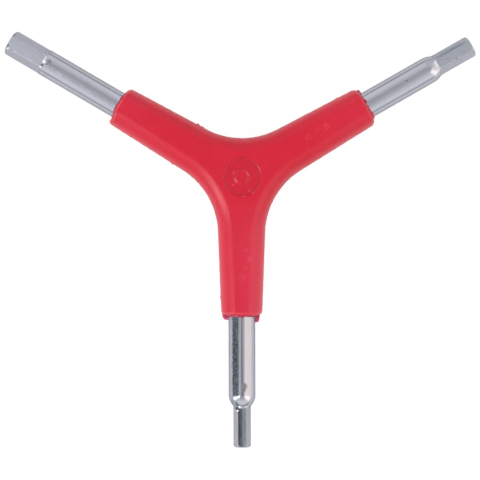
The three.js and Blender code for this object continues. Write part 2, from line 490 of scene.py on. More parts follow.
@dataclass
class HexBar:
    """A round steel bar whose free end is formed into a hexagon."""

    arm: Arm
    shank_diameter: float = 7
    start: float = 6
    key_across_flats: float = 5.2
    key_length: float = 8
    groove_distance: float = 14
    groove_width: float = 3
    groove_diameter: float = 5.4
    step_slope: float = 0.5
    flat_crown: float = 0.018  # how round a flat is across, as one over a radius
    widest_flat: float = 2  # half the width over which the crown counts
    least_facing: float = 0.2  # the least cosine at which a flat's own width is worked out
    corner_sharpness: float = 160
    corner_angles: tuple[float, ...] = (0.25, 0.6, 1.1, 1.8, 2.8, 4.2, 6.5, 10, 14, 18, 22, 26)
    rows_per_mm: float = 12
    row_margin: float = 0.5  # how far close rows go on past the part that is worked
    first_row: float = 0.1
    shank_rows: int = 30
    hex_rows: int = 10
    tip_rows: int = 9
    tip_from: float = 0.15  # the first of the tip's rows, as a share of its quarter turn
    end_rings: int = 3

    @property
    def axis_height(self) -> float:
        """The height of the bar's axis, halfway up the handle."""
        return float(self.arm.tip[2])

    def round_radius(self, s: Array) -> Array:
        """The turned profile: shank, groove, shoulder arc, neck and rounded tip.

        Args:
            s: Distances along the arm.

        Returns:
            The radius at each distance.
        """
        arm, shank, groove = self.arm, self.shank_diameter / 2, self.groove_diameter / 2
        neck = min(arm.across_flats / 2 / cos(HALF_SIDE), shank)
        shoulder = arm.reach - arm.hex_length - arc_length(arm.shoulder_radius, shank - neck)
        level = self.groove_width - 2 * self.step_slope
        places = np.cumsum([
            self.start + self.groove_distance, self.step_slope, level, self.step_slope])
        grooved = np.interp(s, places, np.array([shank, groove, groove, shank]))
        turned = shank - arc_drop(arm.shoulder_radius, s - shoulder)
        tip = arc_drop(arm.tip_radius, s - (arm.reach - arm.tip_radius))
        return np.minimum(grooved, np.maximum(turned, neck)) - tip

    def flat_height(self, s: Array) -> Array:
        """Half the width across the hexagon's flats, which run out in an arc to the shank.

        Args:
            s: Distances along the arm.

        Returns:
            The distance of the flats from the axis, past the shank where there are none.
        """
        arm = self.arm
        before = arm.reach - arm.runout_end - s
        past = np.where(before > arm.runout_radius, self.shank_diameter, 0)
        return arm.across_flats / 2 + arc_drop(arm.runout_radius, before) + past

    def radius(self, s: Array, angle: Array) -> Array:
        """The bar's section: the least of its round and its flats, with softened corners.

        Each flat at height h and angle a is the distance (h - crown) / cos(angle - a), and the
        least of all distances is their p-norm, (sum of distance^-p)^(-1/p).

        Args:
            s: Distances along the arm, one per row.
            angle: Angles about the bar's axis from its left, one per column.

        Returns:
            The distance from the axis at each row and column.
        """
        base = self.round_radius(s)
        facing = angle - self.arm.turn
        total = np.ones(np.broadcast(s, angle).shape)
        key_end = self.start + np.array([self.key_length, self.key_length + self.step_slope])
        key = np.interp(s, key_end, np.array([self.key_across_flats / 2, self.shank_diameter]))
        for flats, height in ((HEX_SIDES, self.flat_height(s)), (KEY_SIDES, key)):
            for k in range(flats):
                off = np.cos(facing - QUARTER_TURN - k * FULL_TURN / flats)
                side = np.sqrt(1 - np.minimum(off**2, 1)) / np.maximum(off, self.least_facing)
                away = np.minimum(height * side, self.widest_flat)
                crowned = height - self.flat_crown / 2 * away**2
                total = total + (base * np.maximum(off, 0) / crowned) ** self.corner_sharpness
        return base * total ** (-1 / self.corner_sharpness)

    def angles(self) -> Array:
        """Where the columns run: close together at the hexagon's corners, wide on its flats.

        Returns:
            Their angles about the bar's axis.
        """
        near = radians(1) * np.array(self.corner_angles)
        sector = np.concatenate([[-HALF_SIDE], -near[::-1], [0], near])
        corners = np.arange(HEX_SIDES) * FULL_TURN / HEX_SIDES + self.arm.turn
        return (corners[:, None] + sector).reshape(-1)

    def stations(self) -> Array:
        """Where the rows lie: close together wherever the section changes.

        Returns:
            Their distances along the arm.
        """
        arm, slope, margin = self.arm, self.step_slope, self.row_margin
        shoulder = arm.reach - arm.hex_length - arm.shoulder_radius
        full = arm.reach - arm.runout_end
        key_end = self.start + self.key_length
        groove = self.start + self.groove_distance
        groove_end = groove + self.groove_width
        worked = int((full + margin - shoulder) * self.rows_per_mm)
        tip = np.sin(np.linspace(self.tip_from, 1, self.tip_rows) * QUARTER_TURN)
        return np.concatenate([
            [self.start, self.start + self.first_row, key_end, key_end + slope],
            [groove, groove + slope, groove_end - slope, groove_end],
            np.linspace(groove_end + 2 * margin, shoulder - margin, self.shank_rows),
            np.linspace(shoulder, full + margin, worked),
            np.linspace(full + 2 * margin, arm.reach - arm.tip_radius, self.hex_rows),
            arm.reach - arm.tip_radius * (1 - tip),
        ])

    def surface(self) -> Sheet:
        """The whole bar, from the pole of its inner end to the pole of its tip.

        Returns:
            One closed grid.
        """
        s, angle = self.stations()[:, None], self.angles()[None, :]
        radius = self.radius(s, angle)
        inner = np.linspace(0, 1, self.end_rings, endpoint=False)[:, None]
        s = np.concatenate([np.full_like(inner, s[0, 0]), s, np.full_like(inner, s[-1, 0])])
        radius = np.concatenate([inner * radius[:1], radius, inner[::-1] * radius[-1:]])
        z = self.axis_height + radius * np.sin(angle)
        return Sheet(self.arm.place(s, radius * np.cos(angle), z), closed=True)

    def build(self) -> bpy.types.Object:
        """Makes the bar, gives it its steel and lets it stand for its solid.

        Returns:
            The bar.
        """
        arm = self.arm
        bar = Shell(f"{arm.node}_dressed", [self.surface()]).piece()
        bar.data.materials.append(PlatedSteel(arm, self.axis_height).material())
        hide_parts(arm.node)
        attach(bar, BODY)
        return bar


@dataclass
class GripHandle:
    """The moulded handle: a hub with a recess, three tapering sleeves and its flash."""

    bars: list[HexBar]
    width_at_hub: float = 13.4
    width_at_mouth: float = 10.62
    crotch_radius: float = 20
    flank_round: float = 4.1
    sleeve_start: float = 16
    top_edge_radius: float = 1.0
    least_wall: float = 0.15  # flat left on the end face beside the corner's rounding
    moulded_gap: float = 0.03
    seat_steps: tuple[float, ...] = (0.3, 1, 3, 6)  # the seat's first rows, from the mouth in
    seat_stations: int = 8  # the rows that it shares with the bar's inner end
    lip_width: float = 0.4
    lip_fullness: float = 0.7
    least_lip: float = 0.06
    film_rise: Pair = (0.2, 0.9)  # where the pale film on the lip begins, as angles round it
    film_end: float = 2.2
    end_face_light: float = 0.75  # how much less painted shade the middle of the end face has
    rim_highlight_band: Triple = (0.3, 0.5, 0.15)  # the painted highlight on the rounded edge: from, to, blur
    shaded_edge: Pair = (0.8, 1)  # where the rounded edge turns into the end face and its painted shade begins
    shaded_face: Pair = (0, 0.5)
    jag: float = 0.1
    jag_wave: float = 1.1
    jag_rows: Pair = (2, 12)  # rows of the end over which it becomes uneven
    mouth_blend: float = 5
    fin_thickness: float = 0.36
    fin_edge: float = 0.14
    fin_wave: float = 0.8
    seam_height: float = 0.05
    seam_wave: float = 1.4
    seam_unevenness: float = 0.6
    seam_limits: Pair = (0.1, 2)
    seam_angle: float = radians(1.3)
    seam_nubs: tuple[Triple, ...] = (
        (-11.3, 13.9, 0.4), (-10.2, 13.3, 0.3), (-18.3, 3.4, 0.3), (-5.5, -31.6, 0.15),
        (25.1, 20.8, 0.15),
    )
    nub_radius: float = 0.35
    thin_seam: Pair = (0.08, 0.25)  # heights of the seam at which it looks thin
    sink_depth: float = 0.03
    sink_length: float = 15
    recess_radius: float = 5.1
    recess_depth: float = 0.4
    recess_centre: Pair = (0.25, 0.0)
    recess_wall: float = 0.25
    # painted shade on the recess floor
    recess_shade: float = 0.08
    edge_softness: float = 0.11
    edge_shape: tuple[Pair, ...] = ((0, 0.15), (0.5, 0.5), (1, 1.2))  # shares of it, in and down
    wall_row: float = 0.8  # the wall's last row, as a share of its width
    foot_width: float = 0.15
    foot_shade: float = 0.15  # how dark the painted shade line at the wall's foot is
    foot_side: float = 0.11  # how much darker the painted shade line is on its darkest side, and lighter opposite
    foot_angle: float = radians(-15)
    ring_radius: float = 1.75
    ring_width: float = 0.9
    ring_height: float = 0.25
    ring_wave: float = 1.3
    ring_unevenness: float = 0.45
    near_seam: tuple[float, ...] = (0.6, 1.4, 2.6, 5)  # degrees
    ease_from: float = radians(78)  # where the flank leaves its ellipse for the flat
    flank_rows: int = 17
    ease_rows: int = 6
    across_columns: int = 14
    line_columns: int = 3
    crotch_columns: int = 90
    sleeve_rows: int = 64
    edge_rows: int = 13
    face_rows: int = 8
    lip_rows: int = 9
    land_rows: int = 12
    ring_rows: int = 11
    floor_rows: int = 5

    @property
    def thickness(self) -> float:
        """The handle's thickness, from the frame."""
        low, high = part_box("grip_handle")
        return (high[2] - low[2]) / MM

    @property
    def section(self) -> tuple[Array, Array, Array]:
        """The flank in section, from the underside round the parting seam to the top.

        It is an ellipse, with the inset w (1 - cos slope) and the rise sin slope. From one
        slope on, what is left of the rise shrinks with the cube of the way to the flat.

        Returns:
            The rows' insets, their rises from -1 to 1, and how much of the seam each carries.
        """
        near = np.radians(np.array(self.near_seam))
        far = np.linspace(near[-1], self.ease_from, self.flank_rows)
        slope = np.concatenate([[0], near, far[1:]])
        inset, rise = self.flank_round * (1 - np.cos(slope)), np.sin(slope)
        left = 1 - rise[-1]
        way = np.linspace(0, 1, self.ease_rows + 1)[1:]
        length = 3 * left * self.flank_round * tan(self.ease_from)
        inset = np.concatenate([inset, inset[-1] + length * way])
        rise = np.concatenate([rise, 1 - left * (1 - way) ** 3])
        ridge = np.concatenate([np.exp(-((slope / self.seam_angle) ** 2)), 0 * way])
        above = (inset, rise, ridge)
        below = (inset, -rise, ridge)
        return tuple(np.concatenate([low[:0:-1], high]) for low, high in zip(below, above))

    def taper(self, arm: Arm) -> float:
        """The angle by which a sleeve's side leans in towards its mouth."""
        return atan2((self.width_at_hub - self.width_at_mouth) / 2, arm.sleeve_length)

    def sink(self, x: Array, y: Array) -> Array:
        """How far the top has sunk as the plastic cooled, from nothing to the sink depth."""
        waves = Ripple(seed=4, wavelength=self.sink_length, waves=6).at(x, y)
        return self.sink_depth * np.clip(0.5 + 0.5 * waves, 0, 1)

    def seam(self, x: Array, y: Array) -> Array:
        """The parting seam's height along the outline: an uneven line with a few nubs.

        Args:
            x: Where the outline runs.
            y: Where the outline runs.

        Returns:
            The seam's height at each place.
        """
        uneven = 1 + self.seam_unevenness * Ripple(seed=7, wavelength=self.seam_wave).at(x, y)
        height = self.seam_height * np.clip(uneven, *self.seam_limits)
        for nub_x, nub_y, nub_height in self.seam_nubs:
            distance = np.hypot(x - nub_x, y - nub_y)
            height = height + nub_height * np.exp(-((distance / self.nub_radius) ** 2))
        return height

    def crotch(self, first: Arm, second: Arm) -> Sheet:
        """The flank from one arm's left side round the hollow to the next arm's right side.

        The outline is a line, an arc of the crotch radius tangent to both sides, and a line.
        Every row is that outline drawn in along its own normals by the row's inset.

        Args:
            first: The arm that the strip starts on.
            second: The next arm anticlockwise.

        Returns:
            The strip, with a row for each slope.
        """
        lean = (self.taper(first), self.taper(second))
        facing = (first.angle + QUARTER_TURN - lean[0], second.angle - QUARTER_TURN + lean[1])
        half = self.width_at_hub / 2
        matrix = np.array([[cos(angle), sin(angle)] for angle in facing])
        offsets = np.array([half * cos(angle) + self.crotch_radius for angle in lean])
        centre = np.linalg.solve(matrix, offsets)
        turn = (facing[1] - facing[0] + np.pi) % FULL_TURN - np.pi
        angle = facing[0] + turn * np.linspace(0, 1, self.crotch_columns + 1)
        normal = np.stack([np.cos(angle), np.sin(angle)], axis=-1)
        arc = centre - self.crotch_radius * normal
        start, end = (
            arm.place(self.sleeve_start, side * (half - self.sleeve_start * tan(slant)), 0)[:2]
            for arm, side, slant in ((first, 1, lean[0]), (second, -1, lean[1]))
        )
        blend = np.linspace(0, 1, self.line_columns, endpoint=False)[:, None]
        line_in = start + blend * (arc[0] - start)
        line_out = end + blend[::-1] * (arc[-1] - end)
        outline = np.concatenate([line_in, arc, line_out])
        normals = np.pad(normal, ((self.line_columns, self.line_columns), (0, 0)), mode="edge")
        seam = self.seam(outline[:, 0], outline[:, 1])
        inset, rise, ridge = (rows[:, None] for rows in self.section)
        plan = outline[None] - (inset - seam * ridge)[..., None] * normals[None]
        sunk = self.sink(plan[..., 0], plan[..., 1]) * np.clip(rise, 0, 1)
        z = self.thickness / 2 * (1 + rise) - sunk
        thin = smooth_step(seam * ridge, *self.thin_seam)
        values = np.stack([thin, 0 * thin, 0 * thin], axis=-1)
        return Sheet(np.concatenate([plan, z[..., None]], axis=-1), values=values)

    def sleeve_rings(self, arm: Arm, s: Array) -> tuple[Array, Array, Array]:
        """Closed rings round a sleeve: left flank, top, right flank and underside.

        A ring near the hub leans back with the side's taper, as the crotch strips do, and
        one at the mouth stands square to the arm.

        Args:
            arm: The arm.
            s: Where the rings are, as a column.

        Returns:
            The rings' s, v and z, one row for each ring.
        """
        lean, half, middle = self.taper(arm), self.width_at_hub / 2, self.thickness / 2
        end = arm.sleeve_length - arm.mouth.corner_radius
        lag = sin(lean) * np.clip((end - s) / (end - self.sleeve_start), 0, 1)
        plain_inset, rise, ridge = self.section
        sides = []
        for side in (1, -1):
            outline = arm.place(s, side * (half - s * tan(lean)), 0)
            inset = plain_inset - self.seam(outline[..., 0], outline[..., 1]) * ridge
            ring_s = s - inset * lag
            ring_v = side * (half - ring_s * tan(lean) - inset / cos(lean))
            sides.append(np.stack([ring_s, ring_v, middle * (1 + rise) + 0 * ring_s]))
        left, right = sides
        t = np.linspace(0, 1, self.across_columns + 1)[1:-1]
        top = left[..., -1:] * (1 - t) + right[..., -1:] * t
        low = right[..., :1] * (1 - t) + left[..., :1] * t
        ring_s, ring_v, ring_z = np.concatenate([left, top, right[..., ::-1], low], axis=-1)
        place = arm.place(ring_s, ring_v, ring_z)
        sunk = self.sink(place[..., 0], place[..., 1]) * np.clip(ring_z / middle - 1, 0, 1)
        return ring_s, ring_v, ring_z - sunk

    def sleeve(self, bar: HexBar) -> Sheet:
        """One sleeve: its outside, the rounded end with its lip and fins, and the bar's seat.

        Args:
            bar: The bar that the sleeve holds.

        Returns:
            One closed grid, from where the sleeve leaves the hub to the seat's inner pole.
        """
        arm, mouth, middle = bar.arm, bar.arm.mouth, bar.axis_height
        length, corner = arm.sleeve_length, mouth.corner_radius
        body = np.linspace(self.sleeve_start, length - corner, self.sleeve_rows)
        outer_s, outer_v, outer_z = self.sleeve_rings(arm, body[:, None])
        last_v, last_z = outer_v[-1], outer_z[-1] - middle
        angle, far = np.arctan2(last_z, last_v), np.hypot(last_v, last_z)
        seat = bar.radius(np.array([[length]]), angle)[0] + self.moulded_gap
        wall = far - seat
        wanted = self.top_edge_radius + (corner - self.top_edge_radius) * np.cos(angle) ** 2
        radius = np.minimum(wanted, wall - self.lip_width - self.least_wall)
        edge_turn = np.linspace(0, QUARTER_TURN, self.edge_rows)[:, None]
        face = np.linspace(0, 1, self.face_rows)[1:, None]
        lip_turn = np.linspace(0, np.pi, self.lip_rows)[1:, None]
        rough = Ripple(mouth.seed, self.jag_wave)
        uneven = rough.at(seat * np.cos(angle), seat * np.sin(angle))
        lip = np.clip(mouth.lip_height * (1 + mouth.raggedness * uneven), self.least_lip, None)
        inward = np.concatenate([
            radius * (1 - np.cos(edge_turn)),
            radius + face * (wall - self.lip_width - radius),
            wall - self.lip_width * (1 + np.cos(lip_turn)) / 2,
        ])
        end_s = np.concatenate([
            body[-1] + (corner - radius) + radius * np.sin(edge_turn),
            length + 0 * face * radius,
            length + lip * np.sin(lip_turn) ** self.lip_fullness,
        ])
        # The seat's rows, the last of which closes to a pole.
        inner_end = bar.stations()[:self.seat_stations][::-1]
        seat_s = np.concatenate([length - np.array(self.seat_steps), inner_end])[:, None]
        seat_s[-1] -= self.moulded_gap
        seat_r = bar.radius(seat_s, angle) + self.moulded_gap
        s = np.concatenate([outer_s, end_s, seat_s + 0 * far, seat_s[-1:] + 0 * far])
        inner_r = np.concatenate([far - inward, seat_r, 0 * seat_r[:1]])
        v = np.concatenate([outer_v, inner_r * np.cos(angle)])
        z = np.concatenate([outer_z, middle + inner_r * np.sin(angle)])

        # The end's uneven cut, which fades out along the sleeve.
        outside, inside = np.zeros((len(outer_s), 1)), np.zeros((len(seat_s) + 1, 1))
        onset = smooth_step(np.arange(len(end_s))[:, None], *self.jag_rows)
        is_end = np.concatenate([outside, onset, inside])
        shift = mouth.shift(v) + self.jag * is_end * rough.at(v, z)
        s = s + shift * smooth_step(s, length - self.mouth_blend, length)

        # What the plastic's colour follows: painted shade on the end face, lip and seat,
        # a painted highlight on the rim, pale film and thin flash.
        rounding = np.sin(edge_turn)
        film = smooth_step(lip_turn, *self.film_rise) * (lip_turn < self.film_end) * mouth.film
        edge_shade = smooth_step(rounding, *self.shaded_edge)
        face_shade = 1 - self.end_face_light * smooth_step(1 - face, *self.shaded_face)
        end_shade = mouth.lip_shade * np.concatenate([edge_shade, face_shade, 1 - film])
        # painted highlight: a pale band on the rounded edge
        rim = plateau(rounding, *self.rim_highlight_band) * mouth.rim
        shade = np.concatenate([outside, end_shade, inside + 1])
        pale = np.concatenate([outside, rim, 0 * face, film, inside])
        end_thin = mouth.lip_thin * np.concatenate([face, 1 + 0 * lip_turn])
        thin = np.concatenate([outside, 0 * edge_turn, end_thin, inside]) + 0 * s

        # The fins, whose thickness fades with the height h from the middle as exp(-|2h / t|^3).
        fin_height = np.exp(-(np.abs(2 * (z - middle) / self.fin_thickness) ** 3))
        for fin in mouth.fins:
            ragged = fin.end(v) + self.jag * Ripple(mouth.seed + 1, self.fin_wave).at(v, z)
            tongue = plateau(v, fin.v_from, fin.v_to, self.fin_edge) * fin_height * (is_end > 0)
            s = s + np.maximum(ragged - s, 0) * tongue
            thin = np.maximum(thin, tongue)
            shade = shade * (1 - tongue)
            pale = pale * (1 - tongue)
        values = np.stack(np.broadcast_arrays(thin, shade, pale), axis=-1)
        return Sheet(arm.place(s, v, z), closed=True, values=values)

    def top_edge(self, crotches: list[Sheet]) -> Array:
        """The closed edge of the flat top, anticlockwise: over each arm and round each hollow.

        Args:
            crotches: The strips between the arms, each from the arm of the same number.

        Returns:
            The edge's points.
        """
        edges = []
        t = np.linspace(0, 1, self.across_columns, endpoint=False)[:, None]
        for k, strip in enumerate(crotches):
            right, left = crotches[k - 1].points[-1, -1], strip.points[-1, 0]
            across = right + t * (left - right)
            across[:, 2] = self.thickness - self.sink(across[:, 0], across[:, 1])
            edges += [across, strip.points[-1, :-1]]
        return np.concatenate(edges)

    def recess_profile(self) -> tuple[Array, Array, Array, Array]:
        """The recess in section from its rim to its centre.

        Returns:
            Radii, depths below the top, how much each belongs to the gate's ring, and how much
            to the painted shade line at the foot of the wall.
        """
        soft, half_ring = self.edge_softness, self.ring_width / 2
        floor = self.recess_radius - self.recess_wall - soft
        edge_in, edge_down = soft * np.array(self.edge_shape).T
        wall = np.array([*edge_in, soft + self.recess_wall * self.wall_row])
        turn = np.linspace(-1, 1, self.ring_rows)[1:-1]
        outer = np.linspace(floor - self.foot_width, self.ring_radius + half_ring, self.floor_rows)
        inner = np.linspace(self.ring_radius - half_ring, 0, self.floor_rows)
        radii = np.concatenate([
            self.recess_radius + soft - wall, [floor], outer,
            self.ring_radius - turn * half_ring, inner,
        ])
        depths = np.full_like(radii, self.recess_depth)
        depths[:len(wall)] = [*edge_down, self.recess_depth - soft]
        on_ring, on_foot = np.zeros((2, len(radii)))
        on_ring[-len(inner) - len(turn):-len(inner)] = np.cos(turn * QUARTER_TURN) ** 2
        on_foot[len(wall) - 1:len(wall) + 1] = 1
        return radii, depths, on_ring, on_foot

    def top(self, edge: Array) -> Sheet:
        """The flat top as rays from its edge to the recess, and on to the recess's centre.

        Args:
            edge: The top's closed edge.

        Returns:
            One closed grid.
        """
        centre = np.array(self.recess_centre)
        away = edge[:, :2] - centre
        angle, far = np.arctan2(away[:, 1], away[:, 0]), np.hypot(away[:, 0], away[:, 1])
        rim = self.recess_radius + self.edge_softness
        t = np.linspace(1, 0, self.land_rows + 1)[:, None]
        land_r = rim + t * (far - rim)
        radii, depths, on_ring, on_foot = (rows[1:, None] for rows in self.recess_profile())
        r = np.concatenate([land_r, radii + 0 * far])
        x, y = centre[0] + r * np.cos(angle), centre[1] + r * np.sin(angle)
        uneven = Ripple(seed=11, wavelength=self.ring_wave).at(x, y)[len(land_r):]
        ring = self.ring_height * on_ring * (1 + self.ring_unevenness * np.clip(uneven, -1, 1))
        drop = np.concatenate([0 * land_r, depths - ring])
        z = self.thickness - self.sink(x, y) - drop
        inside = smooth_step(r, self.ring_radius - self.ring_width, self.ring_radius)
        # painted shade: a darker recess floor, and a line at the wall's foot, darker to one side
        recess_painted_shade = smooth_step(drop, 0, self.recess_depth) * self.recess_shade * inside
        foot = self.foot_shade + self.foot_side * np.cos(angle - self.foot_angle)
        recess_painted_shade[len(land_r):] += on_foot * foot
        values = np.stack([0 * recess_painted_shade, recess_painted_shade, 0 * recess_painted_shade], axis=-1)
        return Sheet(np.stack([x, y, z], axis=-1), closed=True, values=values)

    def underside(self, edge: Array) -> Sheet:
        """The flat underside as rays from below the top's edge to the centre."""
        t = np.linspace(1, 0, self.land_rows + 1)[:, None, None]
        return Sheet(edge * t * (1, 1, 0), closed=True)

    def build(self) -> bpy.types.Object:
        """Makes the handle, gives it its plastic and lets it stand for its solid.

        Returns:
            The handle.
        """
        arms = [bar.arm for bar in self.bars]
        crotches = [self.crotch(arm, arms[(k + 1) % len(arms)]) for k, arm in enumerate(arms)]
        sleeves = [self.sleeve(bar) for bar in self.bars]
        edge = self.top_edge(crotches)
        sheets = [*crotches, *sleeves, self.top(edge), self.underside(edge)]
        handle = Shell("grip_handle_dressed", sheets, value_name="form").piece()
        handle.data.materials.append(RedPlastic().material())
        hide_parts("grip_handle")
        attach(handle, BODY)
        return handle


@dataclass(frozen=True)
class RedPlastic:
    """Glossy moulded plastic: even red, faint grain, a few pale rubs, paler where thin.

    It has painted shade at the mouths and in the recess, and a painted highlight on the
    mouths' rims.
    """

    colour: Colour = (0.582, 0.0055, 0.028)
    deep_colour: Colour = (0.549, 0.0045, 0.025)
    thin_colour: Colour = (0.62, 0.070, 0.230)
    # painted shade: the mouths' end faces, lips and seats, the recess floor and the line at its wall's
    # foot
    shade_colour: Colour = (0.20, 0.002, 0.014)
    # pale rubs and film, and the painted highlight on the mouths' rims
    pale_colour: Colour = (0.80, 0.26, 0.31)
    paler_tone_colour: Colour = (0.592, 0.020, 0.052)
    speckle_colour: Colour = (0.48, 0.0045, 0.024)
    cloud: Grain = Grain(0.16, 4, 0.6, (0.3, 0.7))
    film: Grain = Grain(1.1, 3, 0.7, (0.35, 0.6))
    skin: Grain = Grain(1 / 0.35, 3, 0.6)
    swell: Grain = Grain(0.35)
    speckle: Grain = Grain(1 / 0.6, 4, 0.75)
    specks: Grain = Grain(4.4, 3, 0.7, (0.54, 0.66))
    dark_speckle: Pair = (0.4, 0.65)
    pale_speckle: Pair = (0.4, 0.7)
    dark_share: Pair = (0.35, 0.45)  # of the dark speckle: everywhere, and more with the paler tone
    pale_share: Pair = (0.012, 0.016)
    rub_share: float = 0.45
    fleck_share: float = 0.5
    skin_height: float = 0.0025
    swell_height: float = 0.02
    rub_height: float = 0.01
    roughness: float = 0.30
    cloud_roughness: float = 0.05
    rub_roughness: float = 0.15
    refraction: float = 1.42
    glow_through: float = 0.2
    glow_radius: Triple = (1.0, 0.12, 0.16)
    glow_depth: float = 0.0015
    flecks: tuple[Triple, ...] = (
        (-1.95, 1.1, 0.42), (-2.2, 0.5, 0.25), (-1.75, -0.95, 0.42), (-1.4, -1.4, 0.3),
        (-2.15, -2.15, 0.38), (2.1, -3.65, 0.36), (2.9, -4.3, 0.4), (0.65, -5.1, 0.4),
    )
    rubbed: tuple[Triple, ...] = (
        (22.3, 13.1, 1.2), (17.3, 10.3, 1.1), (19.9, 12.2, 0.8), (0.2, -26.4, 1.4),
        (1.0, -23.8, 0.9), (2.0, -21.5, 1.1), (1.2, -19.3, 0.9), (2.3, -15.9, 0.8),
        (2.4, -8.4, 0.8),
    )
    fleck_core: float = 0.2  # the full part of a fleck, as a share of its radius
    rub_core: float = 0.5
    top_side: Pair = (11.2, 11.4)
    lower_paler_tone: Pair = (4, 18)  # distances from the hub over which each part sets in
    lower_right: Pair = (-2.5, 4)
    lower_left_share: float = 0.45
    upper_right: Pair = (14, 30)
    upper_left: Pair = (18, 30)
    upper_share: float = 0.25

    def rubs(self, tree: Tree, place: Wire) -> Wire:
        """Pale specks: single flecks round the recess, and groups of fine ones on the arms.

        Args:
            tree: The material's tree.
            place: Coordinates in millimetres.

        Returns:
            1 on a group's speck, the flecks' share on a fleck, and 0 elsewhere.
        """
        x, y, z = tree.parts(place)

        def near_any(spots: tuple[Triple, ...], inner: float) -> Wire:
            """1 within the inner share of a spot's radius, falling to 0 at the radius."""
            off = [((x - a) * (x - a) + (y - b) * (y - b)).root() for a, b, _ in spots]
            return reduce(Wire.at_least, [1 - d.smooth(inner * s[2], s[2]) for d, s in zip(off, spots)])

        flecks = near_any(self.flecks, self.fleck_core) * self.fleck_share
        groups = near_any(self.rubbed, self.rub_core) * tree.noise(place, self.specks)
        return flecks.at_least(groups) * z.smooth(*self.top_side)

    def paler_tone(self, tree: Tree, place: Wire) -> Wire:
        """A paler, pinker tone set by place: the lower arm, mostly its right, and two ends.

        Args:
            tree: The material's tree.
            place: Coordinates in millimetres.

        Returns:
            1 where it is strongest.
        """
        x, y, _ = tree.parts(place)
        right = x.smooth(*self.lower_right) * (1 - self.lower_left_share)
        lower = (0 - y).smooth(*self.lower_paler_tone) * (self.lower_left_share + right)
        upper = x.smooth(*self.upper_right) + (0 - x).smooth(*self.upper_left)
        return lower + upper * self.upper_share

    def material(self) -> bpy.types.Material:
        """The plastic: tints laid over each other, a bump of skin, swell and rubs, and some glow.

        Returns:
            The material.
        """
        material = bpy.data.materials.new("red_plastic")
        tree = Tree(material)
        place = tree.placed()
        thin, shade, pale = tree.parts(
            tree.add("ShaderNodeAttribute", {"attribute_name": "form"}, output=1))
        cloudy = tree.noise(place, self.cloud)
        speckle = tree.noise(place, self.speckle)
        paler_tone, rubs = self.paler_tone(tree, place), self.rubs(tree, place)
        dark = speckle.smooth(*self.dark_speckle) * (self.dark_share[0] + paler_tone * self.dark_share[1])
        bloom = (1 - speckle).smooth(*self.pale_speckle)
        bloom = bloom * (self.pale_share[0] + paler_tone * self.pale_share[1])
        colour = tree.mix(cloudy, self.deep_colour, self.colour)
        for mask, tint in (
            (dark, self.speckle_colour),
            (paler_tone, self.paler_tone_colour),
            (thin, self.thin_colour),
            # painted shade
            (shade, self.shade_colour),
            # painted highlight on the rims, and pale film
            (pale * tree.noise(place, self.film), self.pale_colour),
            (bloom.at_least(rubs * self.rub_share), self.pale_colour),
        ):
            colour = tree.mix(mask, colour, tint)
        height = tree.noise(place, self.skin) * self.skin_height
        height = height + tree.noise(place, self.swell) * self.swell_height
        rough = self.roughness + cloudy * self.cloud_roughness + rubs * self.rub_roughness
        tree.principled(height + rubs * self.rub_height, {
            "Base Color": colour, "Roughness": rough, "IOR": self.refraction,
            "Subsurface Weight": self.glow_through, "Subsurface Radius": self.glow_radius,
            "Subsurface Scale": self.glow_depth,
        })
        return material


